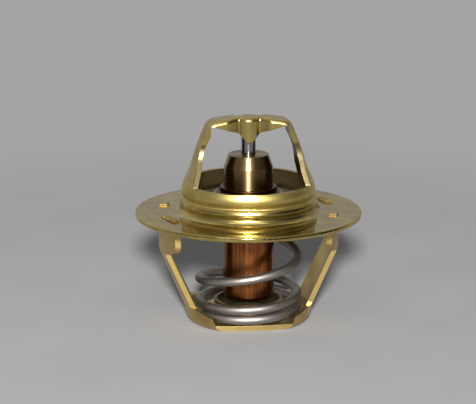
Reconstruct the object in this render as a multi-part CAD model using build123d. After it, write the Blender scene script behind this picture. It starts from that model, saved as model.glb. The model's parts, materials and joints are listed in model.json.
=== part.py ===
from build123d import *

import os
from math import atan2, cos, degrees, radians, sin, sqrt, tan

# Engine coolant thermostat with a wax capsule, in millimetres.
# The origin is the centre of the flange's underside, on the valve axis. +Z points to the bridge,
# and the bridge's arms and the cage's legs stand along X.

# ---- flange and dome: one brass stamping ----
flange_diameter = 54.0
flange_thickness = 1.2
rim_rounding = 0.4          # edge radius of the flange rim
dome_wall = 1.0
dome_foot_radius = 16.3     # outer radius of the dome's lower wall
dome_foot_fillet = 1.6
ledge_height = 3.4          # heights of the dome are above the flange's top face
ledge_rounding = 0.4
throat_radius = 15.7        # outer radius just above the ledge
hip_radius = 15.6           # where the dome turns in, just under the windows
hip_height = 7.0
hip_rounding = 1.2
neck_radius = 14.1          # where that turn runs out into the bridge's arms
neck_height = 10.4
neck_rounding = 5.0
waist_radius = 12.2
waist_height = 16.4
waist_rounding = 30.0
shoulder_radius = 10.0
shoulder_drop = 1.0         # below the crown's top
shoulder_rounding = 2.6
crown_flat_radius = 4.4
crown_rounding = 8.0
crown_height = 22.8

# ---- windows, arms and strap of the bridge ----
sill_height = 7.1
arm_half_width = 3.7        # of the bridge's arms, down to where they start to spread
arm_spread_height = 15.0
arm_spread_rounding = 12.0
arm_foot_half_width = 7.0   # at the sill
strap_end = 9.3             # where the strap's skirts run into the arms
strap_lobe_x = 5.0          # widest bend of each skirt between arm and socket
strap_lobe_y = 3.4
strap_crease_x = 2.45       # crease between skirt and socket
strap_crease_y = 1.65
strap_lobe_rounding = 2.5
strap_crease_rounding = 0.35
strap_edge_rounding = 1.0   # along the crown's front and rear edges
skirt_end_drop = 1.6        # lower edge of the skirt, below the crown's top: where it meets the arms,
skirt_bend_drop = 3.7       # at its bend
skirt_tip_drop = 6.6        # and at the socket's tip
skirt_bend_x = 2.6
skirt_bend_rounding = 2.0
skirt_tip_rounding = 1.2

# ---- push pin ----
pin_diameter = 3.45
pin_socket_clearance = 0.05
pin_end_chamfer = 0.3
pin_nose_length = 2.0       # tapered lower end inside the boot
pin_nose_diameter = 2.2

# ---- lower frame: one drawn brass cage ----
frame_sheet = 1.2
ear_radius = 21.4           # outer radius of the ears
ear_half_angle = 30.0
ear_depth = 6.8             # depths of the frame are below the flange's underside
ear_corner_rounding = 2.0
cage_knee_depth = 7.7       # where the legs start to lean inwards
cage_knee_rounding = 4.0
cage_ankle_radius = 15.5    # where the legs meet the base's turned-up wall
cage_ankle_height = 3.9     # heights above the base's underside
cage_ankle_rounding = 6.0
base_radius = 14.5
base_corner_rounding = 2.3
frame_depth = 25.5
leg_half_width = 6.1
leg_corner_rounding = 1.0
rim_end_x = 8.6             # the base's turned-up wall runs from here to the legs
rim_top_x = 9.9
rim_top_height = 3.1
rim_leg_x = 14.6
rim_leg_height = 4.9
rim_corner_rounding = 0.8
base_half_depth = 10.8      # the base is cut off in front and behind
base_front_bulge = 0.6
collar_bore_radius = 7.4
collar_wall = 0.8
collar_rise = 3.8           # above the base's top face
collar_foot_rounding = 0.8

# ---- staked tabs on the ears ----
long_tab_angle = 21.0
long_tab_width = 5.6
long_tab_notches = 2
short_tab_angle = -20.6
short_tab_width = 1.7
tab_clearance = 0.05
stake_height = 0.55
stake_spread = 0.3
stake_chamfer = 0.2
stake_notch = 0.1           # width of each notch before it is spread

# ---- spring ----
wire_diameter = 2.2
spring_mean_diameter = 23.5
spring_turns = 4.4
lower_closed_turns = 1.0    # turns that lie on each other at the base and under the disc
upper_closed_turns = 1.2
opening_turns = 1.5         # turns over which the pitch opens above the base
closing_turns = 0.3         # and closes again under the disc
coil_gap = 0.1              # between closed turns
spring_start_angle = 198.0
points_per_turn = 12

# ---- valve disc ----
disc_thickness = 1.0
disc_radius = 15.1
disc_land_radius = 9.8      # inner edge of the flat that the spring pushes on
hub_radius = 8.3
hub_rise = 2.1              # hub's top face above the rim's top face
disc_rounding = 0.9
disc_edge_rounding = 0.25
disc_bore_clearance = 0.05

# ---- wax capsule ----
cup_radius = 6.1
cup_wall = 0.6
cup_flange_thickness = 0.45
cup_floor = 0.8
cup_length = 25.9           # from the underside of the crimped flange to the closed end
cup_end_rounding = 1.4
crimp_wall = 0.45
crimp_lip_radius = 5.95
crimp_rounding = 0.3
guide_radius = 5.85
guide_flange_radius = 6.4
guide_flange_thickness = 0.6
guide_straight = 5.8        # from the flange's underside to the start of the taper
guide_length = 8.75         # from the flange's underside to the top face
guide_top_radius = 4.8
guide_edge_rounding = 0.2
spigot_length = 2.2
spigot_clearance = 0.05
pin_guide_clearance = 0.04
wiper_section = 1.1
wiper_clearance = 0.05
wiper_depth = 2.0           # middle of the wiper's groove under the guide's top face
washer_radius = 3.6
washer_thickness = 1.2
boot_flange_thickness = 1.2
boot_wall = 1.2
boot_pin_clearance = 0.2
boot_rounding = 0.6
boot_length = 19.6
boot_end_wall = 1.4
pin_tip_gap = 0.5


# ---- worked out from the sizes above ----
flange_radius = flange_diameter / 2
top = flange_thickness
pin_radius = pin_diameter / 2
socket_radius = pin_radius + pin_socket_clearance + dome_wall
crown_top = top + crown_height
skirt_end = crown_top - skirt_end_drop
pin_top = crown_top - dome_wall
base_bottom = -frame_depth
base_top = base_bottom + frame_sheet
collar_foot_radius = collar_bore_radius + collar_wall + collar_foot_rounding + frame_sheet
ear_inner_radius = ear_radius - frame_sheet
wire_radius = wire_diameter / 2
coil_radius = spring_mean_diameter / 2
seat = top + ledge_height - dome_wall       # underside of the dome's ledge
hub_top = seat + hub_rise
guide_base = hub_top + cup_flange_thickness
guide_top = guide_base + guide_length
cup_bore_radius = cup_radius - cup_wall
cup_end = hub_top - cup_length
spigot_end = guide_base - spigot_length
boot_top = spigot_end
boot_end = boot_top - boot_length
boot_bore_radius = pin_radius + boot_pin_clearance
boot_radius = boot_bore_radius + boot_wall
pin_end = boot_end + boot_end_wall + pin_tip_gap
guide_bore_radius = pin_radius + pin_guide_clearance
wiper_radius = pin_radius + wiper_clearance + wiper_section / 2
wiper_height = guide_top - wiper_depth


def turned(points, radii):
    """Solid of revolution about Z from a closed (radius, height) outline with rounded corners."""
    outline = FilletPolyline(*[(r, 0, z) for r, z in points], radius=radii, close=True)
    return revolve(make_face(outline), Axis.Z)


def tube(outer, inner, low, high):
    """Plain ring between two heights."""
    ring = Circle(outer) - Circle(inner)
    return Pos(0, 0, low) * extrude(ring, high - low)


def plug(radius, low, high):
    """Plain cylinder between two heights."""
    return Pos(0, 0, low) * extrude(Circle(radius), high - low)


def front_prism(points, radii, reach):
    """Closed outline in X and Z, pushed through the whole object along Y."""
    outline = FilletPolyline(*[(x, 0, z) for x, z in points], radius=radii, close=True)
    return extrude(make_face(outline), reach, dir=(0, 1, 0), both=True)


def both_sides(tool):
    """A tool and its copy turned half a turn about Z."""
    return tool + Rot(0, 0, 180) * tool


def side_prism(half, radii, reach):
    """Symmetric outline in Y and Z, from its right half, pushed through the whole object along X."""
    points = half + [(-y, z) for y, z in reversed(half)]
    outline = FilletPolyline(*[(0, y, z) for y, z in points], radius=radii + radii[::-1], close=True)
    return extrude(make_face(outline), reach, dir=(1, 0, 0), both=True)


def wedge(half_angle, low, high):
    """Sector about +X, wide enough for the whole object."""
    reach = 2 * flange_radius
    side = reach * tan(radians(half_angle))
    plan = make_face(Polyline((0, 0), (reach, side), (reach, -side), (0, 0)))
    return Pos(0, 0, low) * extrude(plan, high - low)


# ---- flange and bridge ----
def dome_upper_outline(inset):
    """Points and corner radii of the dome above its lower wall, moved inwards by inset."""
    points = [
        (dome_foot_radius - inset, top + ledge_height - inset),
        (throat_radius - inset, top + ledge_height - inset),
        (hip_radius - inset, top + hip_height),
        (neck_radius - inset, top + neck_height),
        (waist_radius - inset, top + waist_height),
        (shoulder_radius - inset, crown_top - shoulder_drop - inset),
        (crown_flat_radius, crown_top - inset),
        (0, crown_top - inset),
    ]
    radii = [
        ledge_rounding,
        ledge_rounding,
        hip_rounding - inset,
        neck_rounding + inset,
        waist_rounding - inset,
        shoulder_rounding - inset,
        crown_rounding - inset,
        0,
    ]
    return points, radii


def stamping_outside():
    """Everything inside the outer skin of the flange and the dome."""
    points, radii = dome_upper_outline(0)
    foot = [(0, 0), (flange_radius, 0), (flange_radius, top), (dome_foot_radius, top)]
    return turned(foot + points, [0, rim_rounding, rim_rounding, dome_foot_fillet] + radii)


def stamping_inside():
    """The hollow under the dome's skin."""
    points, radii = dome_upper_outline(dome_wall)
    mouth = dome_foot_radius - dome_wall
    flare = dome_foot_fillet
    foot = [(0, -top), (mouth + flare, -top), (mouth + flare, 0), (mouth, flare)]
    return turned(foot + points, [0, 0, 0, flare] + radii)


def strap_plan(end):
    """Plan of the bridge's strap up to X = end: a bow tie that narrows to the socket round the pin."""
    slope = (arm_half_width - strap_lobe_y) / (strap_end - strap_lobe_x)
    end_y = arm_half_width + slope * (end - strap_end)
    half = [
        (end, end_y),
        (strap_lobe_x, strap_lobe_y),
        (strap_crease_x, strap_crease_y),
        (0, socket_radius * sqrt(2)),
        (-strap_crease_x, strap_crease_y),
        (-strap_lobe_x, strap_lobe_y),
        (-end, end_y),
    ]
    bends = [0, strap_lobe_rounding, strap_crease_rounding, socket_radius]
    radii = bends + bends[2::-1]
    other = [(-x, -y) for x, y in half]
    return make_face(FilletPolyline(*(half + other), radius=radii + radii, close=True))


def above_skirt():
    """The space over the strap's V-shaped lower edges."""
    edge = [
        (-strap_end, skirt_end_drop),
        (-skirt_bend_x, skirt_bend_drop),
        (0, skirt_tip_drop),
        (skirt_bend_x, skirt_bend_drop),
        (strap_end, skirt_end_drop),
        (strap_end, 0),
        (-strap_end, 0),
    ]
    outline = [(x, crown_top - drop) for x, drop in edge]
    radii = [0, skirt_bend_rounding, skirt_tip_rounding, skirt_bend_rounding, 0, 0, 0]
    return front_prism(outline, radii, dome_foot_radius)


def rounded_crest(channel):
    """The strap with its crown's front and rear edges rounded."""
    crest = [
        edge
        for edge in channel.edges()
        if (edge @ 0.5).Z > skirt_end
        and abs((edge @ 0.5).Y) > strap_crease_y / 2
        and (edge % 0.5).Z ** 2 < (edge % 0.5).X ** 2 + (edge % 0.5).Y ** 2
    ]
    return fillet(crest, strap_edge_rounding)


def bridge_strap(outside, inside):
    """Channel between the arms: the crown, and a skirt in front and behind that holds the pin."""
    channel = rounded_crest(outside & extrude(strap_plan(strap_end), crown_top) & above_skirt())
    hollow = inside & extrude(offset(strap_plan(strap_end + dome_wall), -dome_wall), crown_top)
    return channel - hollow


def arm_space():
    """Side view of the arms, which spread towards the sill, without the strap between them."""
    half = [
        (arm_half_width, crown_top),
        (arm_half_width, top + arm_spread_height),
        (arm_foot_half_width, top + sill_height),
    ]
    arms = side_prism(half, [0, arm_spread_rounding, 0], flange_radius)
    return arms - extrude(Rectangle(2 * strap_end, flange_diameter), crown_top)


def flange_and_bridge():
    outside = stamping_outside()
    inside = stamping_inside()
    low = plug(flange_radius, 0, top + sill_height)
    body = (outside & (low + arm_space())) - inside
    body += bridge_strap(outside, inside)
    return body - both_sides(tab_blocks(tab_clearance, 0, top))


# ---- lower frame ----
def cage_blank(inset):
    """The drawn cup that the frame is cut from, moved inwards by inset."""
    points = [
        (0, inset),
        (ear_radius - inset, inset),
        (ear_radius - inset, -cage_knee_depth),
        (cage_ankle_radius - inset, base_bottom + cage_ankle_height),
        (base_radius - inset, base_bottom + inset),
        (0, base_bottom + inset),
    ]
    bends = [cage_knee_rounding, cage_ankle_rounding, base_corner_rounding]
    return turned(points, [0, 0] + [bend - inset for bend in bends] + [0])


def ears_and_legs():
    """Side view of the ears and legs, pushed through along X."""
    ear_half_width = ear_radius * sin(radians(ear_half_angle))
    half = [
        (ear_half_width, 0),
        (ear_half_width, -ear_depth),
        (leg_half_width, -ear_depth),
        (leg_half_width, base_bottom),
    ]
    return side_prism(half, [0, ear_corner_rounding, leg_corner_rounding, 0], flange_radius)


def base_rims():
    """Front view of the turned-up wall that runs from the base's front edge to each leg."""
    points = [
        (rim_end_x, base_bottom),
        (rim_top_x, base_bottom + rim_top_height),
        (rim_leg_x, base_bottom + rim_leg_height),
        (ear_radius, base_bottom + rim_leg_height),
        (ear_radius, base_bottom),
    ]
    radii = [0, rim_corner_rounding, rim_corner_rounding, 0, 0]
    return both_sides(front_prism(points, radii, base_radius))


def base_land():
    """The flat base, cut off in front and behind along a slight bow."""
    side, depth = rim_top_x, base_half_depth
    front = ThreePointArc((-side, -depth), (0, -depth - base_front_bulge), (side, -depth))
    back = ThreePointArc((side, depth), (0, depth + base_front_bulge), (-side, depth))
    plan = make_face([front, Line(front @ 1, back @ 0), back, Line(back @ 1, front @ 0)])
    return Pos(0, 0, base_bottom) * extrude(plan, frame_sheet)


def base_collar():
    """The collar drawn up round the hole in the base."""
    outer = collar_bore_radius + collar_wall
    rim = base_top + collar_rise
    points = [
        (collar_bore_radius, base_bottom),
        (collar_foot_radius, base_bottom),
        (collar_foot_radius, base_top),
        (outer, base_top),
        (outer, rim),
        (collar_bore_radius, rim),
    ]
    return turned(points, [collar_wall + collar_foot_rounding, 0, 0, collar_foot_rounding, 0, 0])


def tab_block(angle, width, spread, low, high):
    """Piece of the ear's ring at an angle, grown by spread on every side."""
    ring = tube(ear_radius + spread, ear_inner_radius - spread, low, high)
    half_angle = degrees((width / 2 + spread) / (ear_radius - frame_sheet / 2))
    return ring & Rot(0, 0, angle) * wedge(half_angle, low, high)


def tab_blocks(spread, low, high):
    """Both tabs of one ear."""
    long_tab = tab_block(long_tab_angle, long_tab_width, spread, low, high)
    short_tab = tab_block(short_tab_angle, short_tab_width, spread, low, high)
    return long_tab + short_tab


def staked_tabs():
    """Tabs through the flange, with heads that are spread over its top face."""
    crest = top + stake_height
    heads = tab_blocks(stake_spread, top, crest)
    heads = chamfer(heads.edges().group_by(Axis.Z)[-1], stake_chamfer)
    spacing = long_tab_width / (long_tab_notches + 1)
    for step in range(long_tab_notches):
        shift = (step - (long_tab_notches - 1) / 2) * spacing
        angle = long_tab_angle + degrees(shift / ear_radius)
        heads -= tab_block(angle, stake_notch, stake_spread, top + stake_height / 2, crest)
    return both_sides(tab_blocks(0, 0, top) + heads)


def lower_frame():
    shell = cage_blank(0) - cage_blank(frame_sheet)
    hole = plug(collar_foot_radius, base_bottom, base_top)
    body = (shell & (ears_and_legs() + base_rims() + base_land())) - hole
    return body + base_collar() + staked_tabs()


# ---- spring ----
def coil_height(turns, rise):
    """Height of the wire's middle after a number of turns, with closed coils at both ends."""
    closed_pitch = wire_diameter + coil_gap
    open_turns = spring_turns - lower_closed_turns - upper_closed_turns
    full_turns = open_turns - (opening_turns + closing_turns) / 2
    extra_pitch = (rise - closed_pitch * spring_turns) / full_turns
    done = min(max(turns - lower_closed_turns, 0), open_turns)
    opened = min(done, opening_turns)
    closing = max(done - (open_turns - closing_turns), 0)
    lost = opened - opened**2 / (2 * opening_turns) + closing**2 / (2 * closing_turns)
    return closed_pitch * turns + extra_pitch * (done - lost)


def spring():
    low = base_top + wire_radius
    rise = seat - disc_thickness - wire_radius - low
    count = round(spring_turns * points_per_turn)
    points = []
    for step in range(count + 1):
        turns = spring_turns * step / count
        angle = radians(spring_start_angle + 360 * turns)
        height = low + coil_height(turns, rise)
        points.append((coil_radius * cos(angle), coil_radius * sin(angle), height))
    path = Edge.make_spline(points)
    section = Plane(origin=path @ 0, z_dir=path % 0) * Circle(wire_radius)
    return sweep(section, path)


# ---- valve disc ----
def valve_disc():
    bore = cup_radius + disc_bore_clearance
    shift = disc_thickness * tan(atan2(hub_rise, disc_land_radius - hub_radius) / 2)
    points = [
        (bore, hub_top),
        (hub_radius, hub_top),
        (disc_land_radius, seat),
        (disc_radius, seat),
        (disc_radius, seat - disc_thickness),
        (disc_land_radius - shift, seat - disc_thickness),
        (hub_radius - shift, hub_top - disc_thickness),
        (bore, hub_top - disc_thickness),
    ]
    edge = disc_edge_rounding
    radii = [0, disc_rounding, disc_rounding, edge, edge, disc_rounding, disc_rounding, 0]
    return turned(points, radii)


# ---- wax capsule ----
def capsule_cup():
    crimp = guide_flange_radius + crimp_wall
    flange_top = guide_base + guide_flange_thickness
    outside = [
        (0, cup_end),
        (cup_radius, cup_end),
        (cup_radius, hub_top),
        (crimp, hub_top),
        (crimp, flange_top + crimp_wall),
        (0, flange_top + crimp_wall),
    ]
    body = turned(outside, [0, cup_end_rounding, 0, crimp_rounding, crimp_rounding, 0])
    bore_end_rounding = cup_end_rounding - cup_wall
    bore = [
        (0, cup_end + cup_floor),
        (cup_bore_radius, cup_end + cup_floor),
        (cup_bore_radius, guide_base),
        (0, guide_base),
    ]
    body -= turned(bore, [0, bore_end_rounding, 0, 0])
    body -= plug(guide_flange_radius, guide_base, flange_top)
    return body - plug(crimp_lip_radius, flange_top, flange_top + crimp_wall)


def capsule_guide():
    spigot = cup_bore_radius - spigot_clearance
    taper_start = guide_base + guide_straight
    flange_top = guide_base + guide_flange_thickness
    points = [
        (guide_bore_radius, guide_top),
        (guide_top_radius, guide_top),
        (guide_radius, taper_start),
        (guide_radius, flange_top),
        (guide_flange_radius, flange_top),
        (guide_flange_radius, guide_base),
        (spigot, guide_base),
        (spigot, spigot_end),
        (washer_radius, spigot_end),
        (washer_radius, spigot_end + washer_thickness),
        (guide_bore_radius, spigot_end + washer_thickness),
    ]
    edge = guide_edge_rounding
    body = turned(points, [0, edge, edge, 0, 0, 0, 0, 0, 0, 0, 0])
    groove = wiper_section / 2 + wiper_clearance
    groove_radius = wiper_radius + groove
    return body - tube(groove_radius, pin_radius, wiper_height - groove, wiper_height + groove)


def pin_wiper():
    return Pos(0, 0, wiper_height) * Torus(wiper_radius, wiper_section / 2)


def support_washer():
    return tube(washer_radius, guide_bore_radius, spigot_end, spigot_end + washer_thickness)


def boot_outside():
    """The boot as the wax sees it."""
    flange = cup_bore_radius - spigot_clearance
    flange_bottom = boot_top - boot_flange_thickness
    points = [
        (0, boot_top),
        (flange, boot_top),
        (flange, flange_bottom),
        (boot_radius, flange_bottom),
        (boot_radius, boot_end),
        (0, boot_end),
    ]
    return turned(points, [0, 0, 0, boot_rounding, boot_rounding, 0])


def rubber_boot():
    return boot_outside() - plug(boot_bore_radius, boot_end + boot_end_wall, boot_top)


def wax_charge():
    floor = cup_end + cup_floor
    points = [
        (0, floor),
        (cup_bore_radius, floor),
        (cup_bore_radius, boot_top - boot_flange_thickness),
        (0, boot_top - boot_flange_thickness),
    ]
    return turned(points, [0, cup_end_rounding - cup_wall, 0, 0]) - boot_outside()


def push_pin():
    nose = pin_end + pin_nose_length
    points = [
        (0, pin_top),
        (pin_radius - pin_end_chamfer, pin_top),
        (pin_radius, pin_top - pin_end_chamfer),
        (pin_radius, nose),
        (pin_nose_diameter / 2, pin_end),
        (0, pin_end),
    ]
    return turned(points, [0] * len(points))


def write(solid, name):
    """One STEP file for each piece."""
    export_step(solid, f"parts/{name}.step")


def main():
    os.makedirs("parts", exist_ok=True)
    pieces = [
        flange_and_bridge,
        lower_frame,
        spring,
        valve_disc,
        capsule_cup,
        capsule_guide,
        pin_wiper,
        support_washer,
        rubber_boot,
        wax_charge,
        push_pin,
    ]
    for piece in pieces:
        write(piece(), piece.__name__)


main()
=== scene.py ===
"""Finishes, spring and staging of an engine coolant thermostat, laid out as an add-on.

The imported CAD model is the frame: every piece here keeps its place and rides on its bodies.
"""

import json
from math import cos, hypot, pi, radians, sin

import bmesh
import bpy
from bpy.props import FloatProperty, FloatVectorProperty, IntProperty, PointerProperty
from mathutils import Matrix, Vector


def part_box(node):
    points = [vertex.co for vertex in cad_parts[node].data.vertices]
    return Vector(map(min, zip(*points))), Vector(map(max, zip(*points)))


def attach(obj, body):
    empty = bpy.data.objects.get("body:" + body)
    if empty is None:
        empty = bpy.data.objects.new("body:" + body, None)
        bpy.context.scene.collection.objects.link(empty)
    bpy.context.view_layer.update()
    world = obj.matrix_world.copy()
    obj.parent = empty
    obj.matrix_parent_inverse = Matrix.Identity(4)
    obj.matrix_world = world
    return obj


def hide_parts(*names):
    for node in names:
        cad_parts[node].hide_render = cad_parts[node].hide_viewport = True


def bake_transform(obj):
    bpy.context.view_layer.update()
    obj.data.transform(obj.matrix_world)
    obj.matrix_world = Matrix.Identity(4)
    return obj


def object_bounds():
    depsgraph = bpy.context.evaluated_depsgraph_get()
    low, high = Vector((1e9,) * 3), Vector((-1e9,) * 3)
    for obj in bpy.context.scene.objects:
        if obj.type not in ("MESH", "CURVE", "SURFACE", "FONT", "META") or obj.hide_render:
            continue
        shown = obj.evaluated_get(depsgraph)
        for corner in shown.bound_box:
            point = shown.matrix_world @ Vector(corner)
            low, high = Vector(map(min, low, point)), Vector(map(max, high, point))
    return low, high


bl_info = {
    "name": "Coolant Thermostat",
    "version": (1, 0, 0),
    "blender": (4, 5, 0),
    "location": "3D View > Sidebar > Thermostat",
    "description": "Dresses the packed model of an engine coolant thermostat and lights it",
    "category": "Object",
}

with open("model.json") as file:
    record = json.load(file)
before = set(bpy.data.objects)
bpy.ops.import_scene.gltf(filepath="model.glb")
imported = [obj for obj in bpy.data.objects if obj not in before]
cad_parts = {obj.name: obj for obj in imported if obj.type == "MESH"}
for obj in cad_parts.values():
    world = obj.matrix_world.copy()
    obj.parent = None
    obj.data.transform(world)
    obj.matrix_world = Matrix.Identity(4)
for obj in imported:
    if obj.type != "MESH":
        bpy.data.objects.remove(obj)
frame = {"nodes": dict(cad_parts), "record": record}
cad_low, cad_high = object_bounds()

MM = 0.001
MOUNTS = {mount["name"]: mount for mount in frame["record"]["mounts"]}
FLANGE_TOP = MOUNTS["flange_top_face"]["pos_m"][2]
FLOOR_HEIGHT = cad_low.z
SPRING_LOW, SPRING_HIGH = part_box("spring")

BANDS = (                       # radius, lowest and highest edge, and bow of the dome's two upright bands
    (16.3 * MM, 2.8 * MM, 4.2 * MM, 0.16 * MM),
    (15.65 * MM, 5.0 * MM, 7.95 * MM, 0.28 * MM),
)
BAND_TOLERANCE = 0.15 * MM      # how far a wall may lie from its band's radius
BAND_STEPS = 8                  # rows of faces that follow the bow
SAME_POINT = 0.001 * MM         # corners closer than this are one
CREASE = radians(30)            # sharper edges stay hard

NOISE_LOW, NOISE_HIGH = 0.3, 0.7            # most values of a noise texture lie between these
EDGE_WEAR = 0.08 * MM                       # radius of a handled edge
ALONG_AXIS, ROUND_AXIS = 0.25, 0.0          # which way a grain stretches highlights, in turns

FRAME_WIDTH, FRAME_HEIGHT = 476, 404        # pixels
FLANGE_X, FLANGE_Y = 248.4, 209.7           # the flange's middle in the frame, from its top left corner
SENSOR_WIDTH = 36.0                         # millimetres, as a camera's lens takes it
FLOOR_RADIUS = 3.0
KEY_SIZE, KEY_DISTANCE, KEY_ELEVATION = 0.06, 0.65, radians(20.7)
STRIP_PLACE = Vector((-0.05, -0.3, 0.42))   # from the flange's middle
STRIP_WIDTH, STRIP_HEIGHT = 0.45, 0.10


# ---- colours, nodes and materials ----
def linear(code):
    """Linear colour, with full alpha, from an sRGB hex code."""
    shares = [int(code[place : place + 2], 16) / 255 for place in (1, 3, 5)]
    return [s / 12.92 if s <= 0.04045 else ((s + 0.055) / 1.055) ** 2.4 for s in shares] + [1.0]


def add(tree, kind, inputs=None, **settings):
    """Add a node, set its properties, and set or link its inputs by name or number.

    Inputs 1 to 4 of a Map Range node are the two limits it reads between and what it gives at each.
    """
    node = tree.nodes.new(kind)
    for name, value in settings.items():
        setattr(node, name, value)
    for key, value in (inputs or {}).items():
        if isinstance(value, bpy.types.Node):
            value = value.outputs[0]
        if isinstance(value, bpy.types.NodeSocket):
            tree.links.new(value, node.inputs[key])
        else:
            node.inputs[key].default_value = value
    return node


def new_material(name):
    """An empty node material: its tree, and the shader whose sockets are still to be set."""
    material = bpy.data.materials.new(name)
    material.use_nodes = True
    tree = material.node_tree
    tree.nodes.clear()
    shader = add(tree, "ShaderNodeBsdfPrincipled")
    add(tree, "ShaderNodeOutputMaterial", {"Surface": shader})
    return material, tree, shader


def lengthwise(tree):
    """Draw marks: streaks along the valve axis, wider than real ones so that they show."""
    streak_width, streak_length = MM / 1.5, 25 * MM
    place = add(tree, "ShaderNodeTexCoord").outputs["Object"]
    scale = (1 / streak_width, 1 / streak_width, 1 / streak_length)
    return add(tree, "ShaderNodeMapping", {"Vector": place, "Scale": scale})


def crosswise(tree):
    """Turning and rolling marks: rings that close round the valve axis, coarse enough to show."""
    ring_height = MM / 6
    waviness = 1.5
    place = add(tree, "ShaderNodeTexCoord").outputs["Object"]
    split = add(tree, "ShaderNodeSeparateXYZ", {0: place})
    flat = add(tree, "ShaderNodeCombineXYZ", {0: split.outputs[0], 1: split.outputs[1]})
    ring = add(tree, "ShaderNodeVectorMath", {0: flat}, operation="NORMALIZE")
    wrapped = add(tree, "ShaderNodeVectorMath", {0: ring, "Scale": waviness}, operation="SCALE")
    height = add(tree, "ShaderNodeMath", {0: split.outputs[2], 1: 1 / ring_height}, operation="MULTIPLY")
    lift = add(tree, "ShaderNodeCombineXYZ", {2: height})
    return add(tree, "ShaderNodeVectorMath", {0: wrapped, 1: lift}, operation="ADD")


def painted_inner_shade(tree):
    """Where shade is painted: 1 on the inner walls and the arms' sheared edges, 0 on outer walls, flat faces
    and the strap.
    """
    strap_start, strap_full, strap_lift = 17 * MM, 19 * MM, 0.75
    outer_least, inner_most = 0.8, 0.6
    place = add(tree, "ShaderNodeTexCoord").outputs
    outwards = add(tree, "ShaderNodeVectorMath", {0: place["Object"], 1: (1, 1, 0)}, operation="MULTIPLY")
    ring = add(tree, "ShaderNodeVectorMath", {0: outwards}, operation="NORMALIZE")
    facing = add(tree, "ShaderNodeVectorMath", {0: ring, 1: place["Normal"]}, operation="DOT_PRODUCT")
    slope = add(tree, "ShaderNodeSeparateXYZ", {0: place["Normal"]}).outputs[2]
    flatness = add(tree, "ShaderNodeMath", {0: slope, 1: slope}, operation="MULTIPLY")
    outer = add(tree, "ShaderNodeMath", {0: facing.outputs["Value"], 1: flatness}, operation="ADD")
    height = add(tree, "ShaderNodeSeparateXYZ", {0: place["Object"]}).outputs[2]
    strap = add(
        tree, "ShaderNodeMapRange", {0: height, 1: strap_start, 2: strap_full, 3: 0.0, 4: strap_lift}
    )
    bright = add(tree, "ShaderNodeMath", {0: outer, 1: strap}, operation="ADD")
    return add(tree, "ShaderNodeMapRange", {0: bright, 1: outer_least, 2: inner_most, 3: 0.0, 4: 1.0})


def collar_wall(tree):
    """1 near the valve axis, where the cage's collar and the disc's hub stay in the shade, 0 further out."""
    shade_end, light_start = 7.6 * MM, 8.1 * MM
    place = add(tree, "ShaderNodeTexCoord").outputs["Object"]
    flat = add(tree, "ShaderNodeVectorMath", {0: place, 1: (1, 1, 0)}, operation="MULTIPLY")
    reach = add(tree, "ShaderNodeVectorMath", {0: flat}, operation="LENGTH").outputs["Value"]
    return add(tree, "ShaderNodeMapRange", {0: reach, 1: shade_end, 2: light_start, 3: 1.0, 4: 0.0})


def rolled_rim(tree):
    """1 on the cup's rolled rim over the disc, 0 below it."""
    rim_start, rim_full = 0.0, 0.5 * MM
    place = add(tree, "ShaderNodeTexCoord").outputs["Object"]
    height = add(tree, "ShaderNodeSeparateXYZ", {0: place}).outputs[2]
    return add(tree, "ShaderNodeMapRange", {0: height, 1: rim_start, 2: rim_full, 3: 0.0, 4: 1.0})


def pressed_flat(tree):
    """How far the press has polished the stamping: most on the flange and the foot, less on the arms."""
    on_flange, on_foot, on_arms = 0.9, 0.5, 0.42
    flange_end, foot_start = 1.3 * MM, 2.0 * MM
    foot_end, dome_start = 4.2 * MM, 4.8 * MM
    dome_end, arm_start = 8.2 * MM, 8.8 * MM
    place = add(tree, "ShaderNodeTexCoord").outputs
    height = add(tree, "ShaderNodeSeparateXYZ", {0: place["Object"]}).outputs[2]
    flat = add(
        tree, "ShaderNodeMapRange", {0: height, 1: flange_end, 2: foot_start, 3: on_flange, 4: on_foot}
    )
    low = add(tree, "ShaderNodeMapRange", {0: height, 1: foot_end, 2: dome_start, 3: 1.0, 4: 0.0})
    foot = add(tree, "ShaderNodeMath", {0: flat, 1: low}, operation="MULTIPLY")
    arms = add(tree, "ShaderNodeMapRange", {0: height, 1: dome_end, 2: arm_start, 3: 0.0, 4: on_arms})
    return add(tree, "ShaderNodeMath", {0: foot, 1: arms}, operation="MAXIMUM")


def metal(name, colour, shade, roughness, spread, marks, patch_size, mark_depth, streaks=0.5):
    """A worked metal with worn edges: tone and polish change in patches and along its tool marks."""
    material, tree, shader = new_material(name)
    place = add(tree, "ShaderNodeTexCoord").outputs["Object"]
    patches = add(tree, "ShaderNodeTexNoise", {"Vector": place, "Scale": 1 / patch_size, "Detail": 4.0})
    fine = add(tree, "ShaderNodeTexNoise", {"Vector": marks(tree), "Scale": 1.0, "Detail": 5.0})
    both = add(tree, "ShaderNodeMix", {0: streaks, 2: patches, 3: fine})
    tone = add(tree, "ShaderNodeMapRange", {0: both, 1: NOISE_LOW, 2: NOISE_HIGH, 3: 0.0, 4: 1.0})
    mixed = add(tree, "ShaderNodeMix", {0: tone, 6: shade, 7: colour}, data_type="RGBA")
    polish = add(
        tree,
        "ShaderNodeMapRange",
        {0: both, 1: NOISE_LOW, 2: NOISE_HIGH, 3: roughness + spread, 4: roughness - spread},
    )
    worn = add(tree, "ShaderNodeBevel", {"Radius": EDGE_WEAR}, samples=6)
    grooves = add(
        tree,
        "ShaderNodeBump",
        {"Strength": 0.35, "Distance": mark_depth, "Height": fine, "Normal": worn},
    )
    tree.links.new(mixed.outputs[2], shader.inputs["Base Color"])
    tree.links.new(polish.outputs[0], shader.inputs["Roughness"])
    tree.links.new(grooves.outputs[0], shader.inputs["Normal"])
    shader.inputs["Metallic"].default_value = 1.0
    return material, tree, shader


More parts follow.
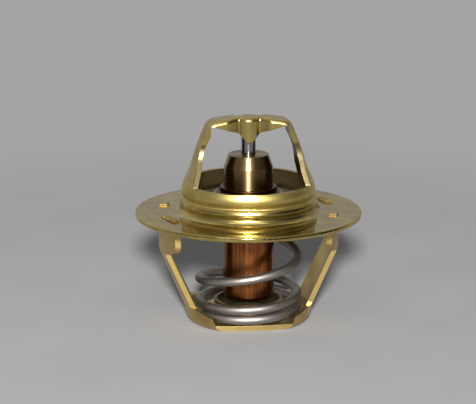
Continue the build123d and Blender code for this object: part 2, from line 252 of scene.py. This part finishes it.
def blend_darker(tree, shader, share, colour):
    """Blend the metal's colour towards a darker tone where share is 1."""
    clean = shader.inputs["Base Color"].links[0].from_socket
    mixed = add(tree, "ShaderNodeMix", {0: share, 6: clean, 7: colour}, data_type="RGBA")
    tree.links.new(mixed.outputs[2], shader.inputs["Base Color"])


def burnish(tree, shader, share, left=0.15):
    """Leave only a part of the metal's roughness where share is 1."""
    rough = shader.inputs["Roughness"].links[0].from_socket
    kept = add(tree, "ShaderNodeMapRange", {0: share, 3: 1.0, 4: left})
    smooth = add(tree, "ShaderNodeMath", {0: rough, 1: kept}, operation="MULTIPLY")
    tree.links.new(smooth.outputs[0], shader.inputs["Roughness"])


def brush(tree, shader, strength, turn):
    """Stretch highlights along the valve axis or round it, as a fine grain does."""
    grooves = add(tree, "ShaderNodeTangent", direction_type="RADIAL", axis="Z")
    tree.links.new(grooves.outputs[0], shader.inputs["Tangent"])
    shader.inputs["Anisotropic"].default_value = strength
    shader.inputs["Anisotropic Rotation"].default_value = turn


def drawn_brass(colour, shade, dark_tone):
    """Bright cartridge brass, deep drawn: faint streaks where the die pulled it, and painted shade inside.
    """
    material, tree, shader = metal(
        "Drawn brass", colour, shade, roughness=0.38, spread=0.06,
        marks=lengthwise, patch_size=4 * MM, mark_depth=0.004 * MM, streaks=0.3,
    )
    # painted shade: a dark brass tone on the inner walls and the arms' sheared edges
    blend_darker(tree, shader, painted_inner_shade(tree), dark_tone)
    burnish(tree, shader, pressed_flat(tree))
    brush(tree, shader, strength=0.4, turn=ROUND_AXIS)
    return material


def pressed_brass(colour, shade, dark_tone):
    """Thicker brass sheet, blanked and drawn: a little duller, with faint rolling lines and painted shade by
    the valve axis.
    """
    material, tree, shader = metal(
        "Pressed brass", colour, shade, roughness=0.4, spread=0.05,
        marks=crosswise, patch_size=6 * MM, mark_depth=0.003 * MM, streaks=0.2,
    )
    # painted shade: a dark brass tone round the cage's collar and the disc's hub, near the valve axis
    blend_darker(tree, shader, collar_wall(tree), dark_tone)
    return material


def drawn_copper(colour, shade, dark_tone):
    """Copper cup drawn long: dark and bright streaks lie along it, and its rolled rim is darker."""
    material, tree, shader = metal(
        "Drawn copper", colour, shade, roughness=0.3, spread=0.08,
        marks=lengthwise, patch_size=6 * MM, mark_depth=0.02 * MM, streaks=0.6,
    )
    blend_darker(tree, shader, rolled_rim(tree), dark_tone)
    return material


def turned_bronze(colour, shade):
    """Free-cutting bronze, turned and polished: tight rings that only soften the reflection."""
    material, tree, shader = metal(
        "Turned bronze", colour, shade, roughness=0.3, spread=0.05,
        marks=crosswise, patch_size=3 * MM, mark_depth=0.004 * MM,
    )
    brush(tree, shader, strength=0.85, turn=ALONG_AXIS)
    return material


def ground_steel(colour, shade):
    """Centreless-ground stainless steel: a clean mirror with fine rings."""
    material, tree, shader = metal(
        "Ground stainless steel", colour, shade, roughness=0.2, spread=0.04,
        marks=crosswise, patch_size=2 * MM, mark_depth=0.002 * MM,
    )
    brush(tree, shader, strength=0.6, turn=ALONG_AXIS)
    return material


def spring_wire(colour, shade):
    """Hard-drawn spring wire: satin grey with a warm film of drawing soap."""
    return metal(
        "Hard-drawn spring wire", colour, shade, roughness=0.48, spread=0.08,
        marks=crosswise, patch_size=1.5 * MM, mark_depth=0.006 * MM,
    )[0]


def moulded(name, colour, roughness, grain_size):
    """A moulded part: one colour, a fine grain and nothing metallic."""
    material, tree, shader = new_material(name)
    place = add(tree, "ShaderNodeTexCoord").outputs["Object"]
    noise = add(tree, "ShaderNodeTexNoise", {"Vector": place, "Scale": 1 / grain_size, "Detail": 3.0})
    tint = add(tree, "ShaderNodeMapRange", {0: noise, 3: 0.85, 4: 1.15})
    tinted = add(
        tree, "ShaderNodeMix", {0: 1.0, 6: colour, 7: tint}, data_type="RGBA", blend_type="MULTIPLY"
    )
    bump = add(tree, "ShaderNodeBump", {"Strength": 0.3, "Distance": 0.02 * MM, "Height": noise})
    tree.links.new(tinted.outputs[2], shader.inputs["Base Color"])
    tree.links.new(bump.outputs[0], shader.inputs["Normal"])
    shader.inputs["Roughness"].default_value = roughness
    return material


# ---- settings in the sidebar ----
def tone(name, description, code):
    """A colour that a user can change, with its default as a hex code."""
    colour = linear(code)
    return FloatVectorProperty(name=name, description=description, subtype="COLOR", size=4, default=colour)


class ThermostatFinish(bpy.types.PropertyGroup):
    """Colours of the thermostat's metals, of the shade painted on its brass, and of its hidden parts."""

    brass: tone("Brass", "Polished tone of the drawn brass", "#d2bd76")
    brass_shade: tone("Brass shade", "Duller tone of the drawn brass", "#a08a4c")
    # painted shade: a dark tone laid on the brass inside the stamping, on the arms' sheared edges and round
    # the cage's collar and the disc's hub
    brass_painted_shade: tone("Painted shade on brass", "Painted shade on brass inside the stamping and by the axis", "#6e6346")
    cage: tone("Cage brass", "Tone of the cage's thicker brass", "#cfb679")
    cage_shade: tone("Cage brass shade", "Duller tone of the cage", "#a68c54")
    disc: tone("Disc brass", "Pale tone of the tinned valve disc", "#cdc2b2")
    disc_shade: tone("Disc shade", "Duller tone of the valve disc", "#a59a8a")
    copper: tone("Copper", "Bright tone of the drawn copper cup", "#bb7440")
    copper_shade: tone("Copper shade", "Dark draw marks on the copper cup", "#3a2416")
    # a darker tone on the cup's rolled rim
    copper_rim: tone("Dark copper rim", "Dark tone of the cup's rolled rim", "#4a3020")
    bronze: tone("Bronze", "Polished tone of the capsule's guide", "#b59c70")
    bronze_shade: tone("Bronze shade", "Duller tone of the capsule's guide", "#866445")
    steel: tone("Pin steel", "Tone of the ground push pin", "#969397")
    wire: tone("Spring wire", "Tone of the satin spring wire", "#a59f98")
    wire_shade: tone("Wire shade", "Darker film on the spring wire", "#827c76")
    rubber: tone("Rubber", "Boot and pin seal", "#26262a")
    wax: tone("Wax", "Wax filled with copper powder", "#b5734a")
    washer: tone("Support washer", "Fluoropolymer washer over the boot", "#e6e4dc")


class ThermostatSpring(bpy.types.PropertyGroup):
    """Sizes of the return spring."""

    wire: FloatProperty(
        name="Wire", description="Wire diameter", unit="LENGTH", precision=5, default=2.2 * MM
    )
    turns: FloatProperty(name="Turns", description="Turns from end to end", default=4.4)
    lower_closed: FloatProperty(
        name="Closed turns below", description="Turns that lie together on the base", default=1.0
    )
    upper_closed: FloatProperty(
        name="Closed turns above", description="Turns that lie together under the disc", default=1.2
    )
    opening: FloatProperty(
        name="Opening turns", description="Turns over which the pitch opens", default=1.5
    )
    closing: FloatProperty(
        name="Closing turns", description="Turns over which the pitch closes", default=0.3
    )
    gap: FloatProperty(
        name="Coil gap", description="Gap between closed turns", unit="LENGTH", precision=5,
        default=0.1 * MM,
    )
    start: FloatProperty(
        name="Start", description="Where the lower end lies, from +X", subtype="ANGLE",
        default=radians(198),
    )
    steps: IntProperty(name="Steps", description="Points for each turn of the wire", default=72)
    sides: IntProperty(name="Sides", description="Points round the wire", default=28)


class ThermostatStage(bpy.types.PropertyGroup):
    """Floor, light and camera."""

    floor: tone("Floor", "Grey of the floor and the far background", "#a9a8a8")
    key_power: FloatProperty(
        name="Key softbox", description="Power of the small lamp over the camera", unit="POWER",
        default=8.8,
    )
    strip_power: FloatProperty(
        name="Overhead strip", description="Power of the long lamp above", unit="POWER", default=0.4
    )
    distance: FloatProperty(
        name="Camera distance", description="From the middle of the flange", unit="LENGTH",
        default=0.5,
    )
    elevation: FloatProperty(
        name="Camera elevation", description="Above the flange", subtype="ANGLE",
        default=radians(13.8),
    )
    azimuth: FloatProperty(
        name="Camera azimuth", description="Round the valve axis, towards the left arm",
        subtype="ANGLE", default=radians(-7.0),
    )
    focal: FloatProperty(
        name="Focal length", description="In pixels of the frame", default=2095.0
    )


# ---- pieces from the frame ----
def radius_of(point):
    """Distance from the valve axis."""
    return hypot(point.x, point.y)


def band_wall(work, radius, low, high):
    """The faces of the upright outer wall of this radius between two heights."""
    return [
        face
        for face in work.faces
        if low < face.calc_center_median().z < high
        and all(abs(radius_of(vert.co) - radius) < BAND_TOLERANCE for vert in face.verts)
        and face.normal.dot(face.calc_center_median() * Vector((1, 1, 0))) > 0
    ]


def swell(work, radius, low, high, bow):
    """Bow the upright outer wall between two heights outwards, as a drawn band springs back."""
    for step in range(1, BAND_STEPS):
        faces = band_wall(work, radius, low, high)
        parts = {*faces, *(e for f in faces for e in f.edges), *(v for f in faces for v in f.verts)}
        bmesh.ops.bisect_plane(
            work,
            geom=list(parts),
            dist=SAME_POINT / 10,
            plane_co=(0, 0, low + (high - low) * step / BAND_STEPS),
            plane_no=(0, 0, 1),
        )
    for vert in {v for f in band_wall(work, radius, low, high) for v in f.verts}:
        share = (vert.co.z - low) / (high - low)
        if 0 < share < 1:
            out = 1 + bow * sin(pi * share) / radius_of(vert.co)
            vert.co.x *= out
            vert.co.y *= out


def smoothed(piece, work):
    """Write the mesh back with smooth faces that break only at its creases."""
    for face in work.faces:
        face.smooth = True
    for bond in work.edges:
        bond.smooth = not bond.is_manifold or bond.calc_face_angle(0) < CREASE
    work.to_mesh(piece.data)
    piece.data.attributes.remove(piece.data.attributes["custom_normal"])
    even = piece.modifiers.new("Even shading", "WEIGHTED_NORMAL")
    even.keep_sharp = True


def dressed(node, name, body, material, bands=()):
    """A copy of a node's mesh, with any bands of its wall bowed, that stands for it."""
    mesh = frame["nodes"][node].data.copy()
    mesh.materials.clear()
    mesh.materials.append(material)
    piece = bpy.data.objects.new(name, mesh)
    bpy.context.collection.objects.link(piece)
    if bands:
        work = bmesh.new()
        work.from_mesh(mesh)
        bmesh.ops.remove_doubles(work, verts=work.verts, dist=SAME_POINT)
        for band in bands:
            swell(work, *band)
        smoothed(piece, work)
        work.free()
    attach(piece, body)
    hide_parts(node)


# ---- the spring ----
def helix_tree(name):
    """Geometry nodes that wind a closed-ended compression spring round Z.

    The extra pitch of the open turns grows and fades evenly where the spring opens and closes.
    """
    tree = bpy.data.node_groups.new(name, "GeometryNodeTree")
    for kind, labels in (
        ("Geometry", ("Geometry",)),
        ("Float", ("Wire radius", "Coil radius", "Turns", "Closed below", "Closed above")),
        ("Float", ("Opening", "Closing", "Gap", "Start", "Low", "Rise")),
        ("Int", ("Steps", "Sides")),
        ("Material", ("Material",)),
    ):
        for label in labels:
            tree.interface.new_socket(label, in_out="INPUT", socket_type="NodeSocket" + kind)
    tree.interface.new_socket("Geometry", in_out="OUTPUT", socket_type="NodeSocketGeometry")
    known = {socket.name: socket for socket in add(tree, "NodeGroupInput").outputs}
    known["Point"] = add(tree, "GeometryNodeInputIndex")
    for result, operation, *terms in (
        ("Spans", "MULTIPLY", "Turns", "Steps"),
        ("Points", "ADD", "Spans", 1.0),
        ("Wound", "DIVIDE", "Point", "Steps"),
        ("Turn", "MINIMUM", "Wound", "Turns"),
        ("Closed pitch", "MULTIPLY_ADD", "Wire radius", 2.0, "Gap"),
        ("Closed turns", "ADD", "Closed below", "Closed above"),
        ("Open turns", "SUBTRACT", "Turns", "Closed turns"),
        ("Eased turns", "ADD", "Opening", "Closing"),
        ("Half eased", "MULTIPLY", "Eased turns", 0.5),
        ("Full turns", "SUBTRACT", "Open turns", "Half eased"),
        ("Closed height", "MULTIPLY", "Closed pitch", "Turns"),
        ("Stretch", "SUBTRACT", "Rise", "Closed height"),
        ("Extra pitch", "DIVIDE", "Stretch", "Full turns"),
        ("Past lower end", "SUBTRACT", "Turn", "Closed below"),
        ("Begun", "MAXIMUM", "Past lower end", 0.0),
        ("Open so far", "MINIMUM", "Begun", "Open turns"),
        ("Opened", "MINIMUM", "Open so far", "Opening"),
        ("Closing from", "SUBTRACT", "Open turns", "Closing"),
        ("Past opening", "SUBTRACT", "Open so far", "Closing from"),
        ("Closed again", "MAXIMUM", "Past opening", 0.0),
        ("Opened squared", "MULTIPLY", "Opened", "Opened"),
        ("Double opening", "MULTIPLY", "Opening", 2.0),
        ("Eased in", "DIVIDE", "Opened squared", "Double opening"),
        ("Closed squared", "MULTIPLY", "Closed again", "Closed again"),
        ("Double closing", "MULTIPLY", "Closing", 2.0),
        ("Eased out", "DIVIDE", "Closed squared", "Double closing"),
        ("Lost below", "SUBTRACT", "Opened", "Eased in"),
        ("Lost", "ADD", "Lost below", "Eased out"),
        ("Gained", "SUBTRACT", "Open so far", "Lost"),
        ("Climb", "MULTIPLY", "Extra pitch", "Gained"),
        ("Height", "MULTIPLY_ADD", "Turn", "Closed pitch", "Climb"),
        ("Level", "ADD", "Height", "Low"),
        ("Angle", "MULTIPLY_ADD", "Turn", 2 * pi, "Start"),
        ("Cosine", "COSINE", "Angle"),
        ("Sine", "SINE", "Angle"),
        ("Across", "MULTIPLY", "Cosine", "Coil radius"),
        ("Deep", "MULTIPLY", "Sine", "Coil radius"),
    ):
        inputs = {place: known.get(term, term) for place, term in enumerate(terms)}
        known[result] = add(tree, "ShaderNodeMath", inputs, operation=operation)
    line = add(tree, "GeometryNodeMeshLine", {"Count": known["Points"]}, mode="OFFSET")
    place = add(tree, "ShaderNodeCombineXYZ", {0: known["Across"], 1: known["Deep"], 2: known["Level"]})
    coil = add(tree, "GeometryNodeSetPosition", {"Geometry": line, "Position": place})
    path = add(tree, "GeometryNodeMeshToCurve", {"Mesh": coil})
    ring = add(
        tree,
        "GeometryNodeCurvePrimitiveCircle",
        {"Resolution": known["Sides"], "Radius": known["Wire radius"]},
        mode="RADIUS",
    )
    wire = add(
        tree, "GeometryNodeCurveToMesh", {"Curve": path, "Profile Curve": ring, "Fill Caps": True}
    )
    smooth = add(tree, "GeometryNodeSetShadeSmooth", {"Geometry": wire})
    solid = add(tree, "GeometryNodeRealizeInstances", {"Geometry": smooth})
    coated = add(
        tree, "GeometryNodeSetMaterial", {"Geometry": solid, "Material": known["Material"]}
    )
    add(tree, "NodeGroupOutput", {"Geometry": coated})
    return tree


def grown(name, tree, values):
    """The plain mesh object that a geometry node tree makes with these named inputs."""
    seed = bpy.data.objects.new(name + "_seed", bpy.data.meshes.new(name + "_seed"))
    bpy.context.collection.objects.link(seed)
    growth = seed.modifiers.new("Growth", "NODES")
    growth.node_group = tree
    sockets = {item.name: item.identifier for item in tree.interface.items_tree if item.in_out == "INPUT"}
    for label, value in values.items():
        growth[sockets[label]] = value
    bpy.context.view_layer.update()
    shape = bpy.data.meshes.new_from_object(seed.evaluated_get(bpy.context.evaluated_depsgraph_get()))
    seed.modifiers.remove(growth)
    bpy.data.objects.remove(seed)
    piece = bpy.data.objects.new(name, shape)
    bpy.context.collection.objects.link(piece)
    return piece


class THERMOSTAT_OT_spring(bpy.types.Operator):
    """Wind the return spring between the cage's base and the valve disc."""

    bl_idname = "thermostat.spring"
    bl_label = "Wind Spring"

    def execute(self, context):
        size = context.scene.thermostat_spring
        finish = context.scene.thermostat_finish
        wire_radius = size.wire / 2
        low = SPRING_LOW.z + wire_radius
        values = {
            "Wire radius": wire_radius,
            "Coil radius": SPRING_HIGH.x - wire_radius,
            "Turns": size.turns,
            "Closed below": size.lower_closed,
            "Closed above": size.upper_closed,
            "Opening": size.opening,
            "Closing": size.closing,
            "Gap": size.gap,
            "Start": size.start,
            "Low": low,
            "Rise": SPRING_HIGH.z - wire_radius - low,
            "Steps": size.steps,
            "Sides": size.sides,
            "Material": spring_wire(finish.wire, finish.wire_shade),
        }
        piece = grown("return_spring", helix_tree("Compression spring"), values)
        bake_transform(piece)
        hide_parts("spring")
        return {"FINISHED"}


# ---- the other pieces ----
class THERMOSTAT_OT_bridge(bpy.types.Operator):
    """Dress the flange and bridge, one brass stamping."""

    bl_idname = "thermostat.bridge"
    bl_label = "Dress Flange and Bridge"

    def execute(self, context):
        finish = context.scene.thermostat_finish
        brass = drawn_brass(finish.brass, finish.brass_shade, finish.brass_painted_shade)
        dressed("flange_and_bridge", "bridge_stamping", "housing", brass, BANDS)
        return {"FINISHED"}


class THERMOSTAT_OT_cage(bpy.types.Operator):
    """Dress the cage that carries the spring, with its staked tabs."""

    bl_idname = "thermostat.cage"
    bl_label = "Dress Cage"

    def execute(self, context):
        finish = context.scene.thermostat_finish
        brass = pressed_brass(finish.cage, finish.cage_shade, finish.brass_painted_shade)
        dressed("lower_frame", "spring_cage", "housing", brass)
        return {"FINISHED"}


class THERMOSTAT_OT_valve(bpy.types.Operator):
    """Dress the valve disc."""

    bl_idname = "thermostat.valve"
    bl_label = "Dress Valve Disc"

    def execute(self, context):
        finish = context.scene.thermostat_finish
        brass = pressed_brass(finish.disc, finish.disc_shade, finish.brass_painted_shade)
        dressed("valve_disc", "disc_pressing", "valve", brass)
        return {"FINISHED"}


class THERMOSTAT_OT_capsule(bpy.types.Operator):
    """Dress the wax capsule: copper cup, bronze guide and the parts inside."""

    bl_idname = "thermostat.capsule"
    bl_label = "Dress Capsule"

    def execute(self, context):
        finish = context.scene.thermostat_finish
        copper = drawn_copper(finish.copper, finish.copper_shade, finish.copper_rim)
        bronze = turned_bronze(finish.bronze, finish.bronze_shade)
        rubber = moulded("Nitrile rubber", finish.rubber, roughness=0.6, grain_size=0.4 * MM)
        wax = moulded("Wax and copper powder", finish.wax, roughness=0.5, grain_size=0.3 * MM)
        washer = moulded("Fluoropolymer", finish.washer, roughness=0.4, grain_size=0.6 * MM)
        dressed("capsule_cup", "copper_cup", "valve", copper)
        dressed("capsule_guide", "bronze_guide", "valve", bronze)
        dressed("pin_wiper", "seal_ring", "valve", rubber)
        dressed("rubber_boot", "inner_boot", "valve", rubber)
        dressed("wax_charge", "wax_filling", "valve", wax)
        dressed("support_washer", "boot_washer", "valve", washer)
        return {"FINISHED"}


class THERMOSTAT_OT_pin(bpy.types.Operator):
    """Dress the push pin."""

    bl_idname = "thermostat.pin"
    bl_label = "Dress Push Pin"

    def execute(self, context):
        finish = context.scene.thermostat_finish
        steel = ground_steel(finish.steel, finish.steel)
        dressed("push_pin", "ground_pin", "housing", steel)
        return {"FINISHED"}


# ---- stage ----
def floor_material(colour):
    """Matt grey cloth: no gloss, a faint cloudiness, painted shade at the front and painted light further
    back against the key lamp's falloff, and one plain tone away from the object.
    """
    cloud_size = 25 * MM
    cloud_dark, cloud_light = 0.97, 1.03
    falloff_front, falloff_back = -0.1, 0.15
    near_tone, far_tone = 0.77, 1.34
    blend_start, blend_end = 0.09, 0.22
    plain_strength = 0.95
    material, tree, shader = new_material("Matt grey cloth")
    surface = shader.outputs[0].links[0].to_socket
    place = add(tree, "ShaderNodeTexCoord").outputs["Object"]
    cloud = add(tree, "ShaderNodeTexNoise", {"Vector": place, "Scale": 1 / cloud_size, "Detail": 3.0})
    clouded = add(
        tree, "ShaderNodeMapRange", {0: cloud, 1: NOISE_LOW, 2: NOISE_HIGH, 3: cloud_dark, 4: cloud_light}
    )
    # painted shade and light: the cloth darkens towards the camera and brightens behind, evening out the key
    # lamp's falloff
    depth = add(tree, "ShaderNodeSeparateXYZ", {0: place}).outputs[1]
    painted_falloff = add(tree, "ShaderNodeMapRange", {0: depth, 1: falloff_front, 2: falloff_back, 3: near_tone, 4: far_tone})
    tint = add(tree, "ShaderNodeMath", {0: clouded, 1: painted_falloff}, operation="MULTIPLY")
    tinted = add(
        tree, "ShaderNodeMix", {0: 1.0, 6: colour, 7: tint}, data_type="RGBA", blend_type="MULTIPLY"
    )
    tree.links.new(tinted.outputs[2], shader.inputs["Base Color"])
    shader.inputs["Roughness"].default_value = 0.9
    shader.inputs["Specular IOR Level"].default_value = 0.1
    reach = add(tree, "ShaderNodeVectorMath", {0: place}, operation="LENGTH").outputs["Value"]
    far = add(
        tree,
        "ShaderNodeMapRange",
        {0: reach, 1: blend_start, 2: blend_end},
        interpolation_type="SMOOTHSTEP",
    )
    path = add(tree, "ShaderNodeLightPath").outputs
    shown = add(
        tree, "ShaderNodeMath", {0: path["Is Camera Ray"], 1: path["Is Glossy Ray"]}, operation="MAXIMUM"
    )
    share = add(tree, "ShaderNodeMath", {0: far, 1: shown}, operation="MULTIPLY")
    plain = add(tree, "ShaderNodeEmission", {0: colour, 1: plain_strength})
    mixed = add(tree, "ShaderNodeMixShader", {0: share, 1: shader, 2: plain})
    tree.links.new(mixed.outputs[0], surface)
    return material


def lay_floor(colour):
    """A wide round cloth under the object."""
    sheet = bpy.data.meshes.new("floor")
    work = bmesh.new()
    bmesh.ops.create_circle(work, cap_ends=True, segments=96, radius=FLOOR_RADIUS)
    bmesh.ops.translate(work, verts=work.verts, vec=(0, 0, FLOOR_HEIGHT))
    work.to_mesh(sheet)
    work.free()
    sheet.materials.append(floor_material(colour))
    floor = bpy.data.objects.new("floor", sheet)
    bpy.context.collection.objects.link(floor)


def studio(floor_colour):
    """A dim room, brighter behind, above and on the left, that shows in metal more than it lights."""
    near_end, far_start = -0.2, 0.6         # parts of a ray's direction, as below
    near_level, far_level = 0.05, 0.38
    ceiling_start, ceiling_level = 0.2, 0.3
    left_level, right_level = 0.12, -0.1
    light_share = 0.27
    world = bpy.data.worlds.new("Studio")
    world.use_nodes = True
    tree = world.node_tree
    tree.nodes.clear()
    ray = add(tree, "ShaderNodeTexCoord").outputs["Generated"]
    split = add(tree, "ShaderNodeSeparateXYZ", {0: ray}).outputs
    wall = add(
        tree,
        "ShaderNodeMapRange",
        {0: split[1], 1: near_end, 2: far_start, 3: near_level, 4: far_level},
        interpolation_type="SMOOTHSTEP",
    )
    ceiling = add(
        tree, "ShaderNodeMapRange", {0: split[2], 1: ceiling_start, 2: 1.0, 3: 0.0, 4: ceiling_level}
    )
    side = add(tree, "ShaderNodeMapRange", {0: split[0], 1: -1.0, 2: 1.0, 3: left_level, 4: right_level})
    walls = add(tree, "ShaderNodeMath", {0: wall, 1: side}, operation="ADD")
    room = add(tree, "ShaderNodeMath", {0: walls, 1: ceiling}, operation="ADD", use_clamp=True)
    path = add(tree, "ShaderNodeLightPath").outputs
    share = add(tree, "ShaderNodeMapRange", {0: path["Is Glossy Ray"], 3: light_share, 4: 1.0})
    glow = add(tree, "ShaderNodeMath", {0: room, 1: share}, operation="MULTIPLY")
    around = add(tree, "ShaderNodeBackground", {0: linear("#ffffff"), 1: glow})
    plain = add(tree, "ShaderNodeBackground", {0: floor_colour, 1: 1.0})
    sky = add(tree, "ShaderNodeMixShader", {0: path["Is Camera Ray"], 1: around, 2: plain})
    add(tree, "ShaderNodeOutputWorld", {0: sky})
    return world


def softbox(name, place, aim, width, height, power):
    """A rectangular white lamp that faces a point."""
    lamp = bpy.data.lights.new(name, "AREA")
    lamp.shape = "RECTANGLE"
    lamp.size = width
    lamp.size_y = height
    lamp.energy = power
    holder = bpy.data.objects.new(name, lamp)
    holder.location = place
    holder.rotation_euler = (aim - place).to_track_quat("-Z", "Y").to_euler()
    bpy.context.collection.objects.link(holder)


def direction(azimuth, elevation):
    """Unit vector from the flange towards a place in front of it."""
    return Vector((sin(azimuth) * cos(elevation), -cos(azimuth) * cos(elevation), sin(elevation)))


def framed_camera(middle, stage):
    """A camera that looks at the flange and holds it at its place in the frame."""
    back = direction(stage.azimuth, stage.elevation)
    facing = (-back).to_track_quat("-Z", "Y")
    right, up = facing @ Vector((1, 0, 0)), facing @ Vector((0, 1, 0))
    pixel = stage.distance / stage.focal    # its width at the flange
    aside = (FRAME_WIDTH / 2 - FLANGE_X) * pixel * right
    above = (FLANGE_Y - FRAME_HEIGHT / 2) * pixel * up
    lens = bpy.data.cameras.new("Camera")
    lens.sensor_width = SENSOR_WIDTH
    lens.lens = stage.focal * SENSOR_WIDTH / FRAME_WIDTH
    lens.clip_start = 0.01
    lens.clip_end = 20.0
    camera = bpy.data.objects.new("Camera", lens)
    camera.location = middle + back * stage.distance
    camera.rotation_mode = "QUATERNION"
    camera.rotation_quaternion = (middle + aside + above - camera.location).to_track_quat("-Z", "Y")
    bpy.context.collection.objects.link(camera)
    return camera


class THERMOSTAT_OT_stage(bpy.types.Operator):
    """Lay the floor, hang the soft lamps and set the camera."""

    bl_idname = "thermostat.stage"
    bl_label = "Set Stage"

    def execute(self, context):
        scene = context.scene
        stage = scene.thermostat_stage
        lay_floor(stage.floor)
        scene.world = studio(stage.floor)
        middle = Vector((0, 0, FLANGE_TOP))
        key = middle + KEY_DISTANCE * direction(stage.azimuth, KEY_ELEVATION)
        softbox("Key softbox", key, middle, KEY_SIZE, KEY_SIZE, stage.key_power)
        strip = middle + STRIP_PLACE
        softbox("Overhead strip", strip, middle, STRIP_WIDTH, STRIP_HEIGHT, stage.strip_power)
        scene.camera = framed_camera(middle, stage)
        scene.view_settings.view_transform = "Standard"
        return {"FINISHED"}


class THERMOSTAT_PT_panel(bpy.types.Panel):
    """Buttons and sizes in the 3D view's sidebar."""

    bl_idname = "THERMOSTAT_PT_panel"
    bl_label = "Thermostat"
    bl_space_type = "VIEW_3D"
    bl_region_type = "UI"
    bl_category = "Thermostat"

    def draw(self, context):
        for group in GROUPS:
            settings = getattr(context.scene, group)
            box = self.layout.box()
            for label in settings.__annotations__:
                box.prop(settings, label)
        for operator in OPERATORS:
            self.layout.operator(operator.bl_idname)


GROUPS = {
    "thermostat_finish": ThermostatFinish,
    "thermostat_spring": ThermostatSpring,
    "thermostat_stage": ThermostatStage,
}
OPERATORS = (
    THERMOSTAT_OT_bridge,
    THERMOSTAT_OT_cage,
    THERMOSTAT_OT_spring,
    THERMOSTAT_OT_valve,
    THERMOSTAT_OT_capsule,
    THERMOSTAT_OT_pin,
    THERMOSTAT_OT_stage,
)


def register():
    for kind in (*GROUPS.values(), *OPERATORS, THERMOSTAT_PT_panel):
        bpy.utils.register_class(kind)
    for group, kind in GROUPS.items():
        setattr(bpy.types.Scene, group, PointerProperty(type=kind))


def unregister():
    for group in GROUPS:
        delattr(bpy.types.Scene, group)
    for kind in reversed((*GROUPS.values(), *OPERATORS, THERMOSTAT_PT_panel)):
        bpy.utils.unregister_class(kind)


def main():
    register()
    for operator in OPERATORS:
        category, name = operator.bl_idname.split(".")
        getattr(getattr(bpy.ops, category), name)()


if __name__ == "__main__":
    main()
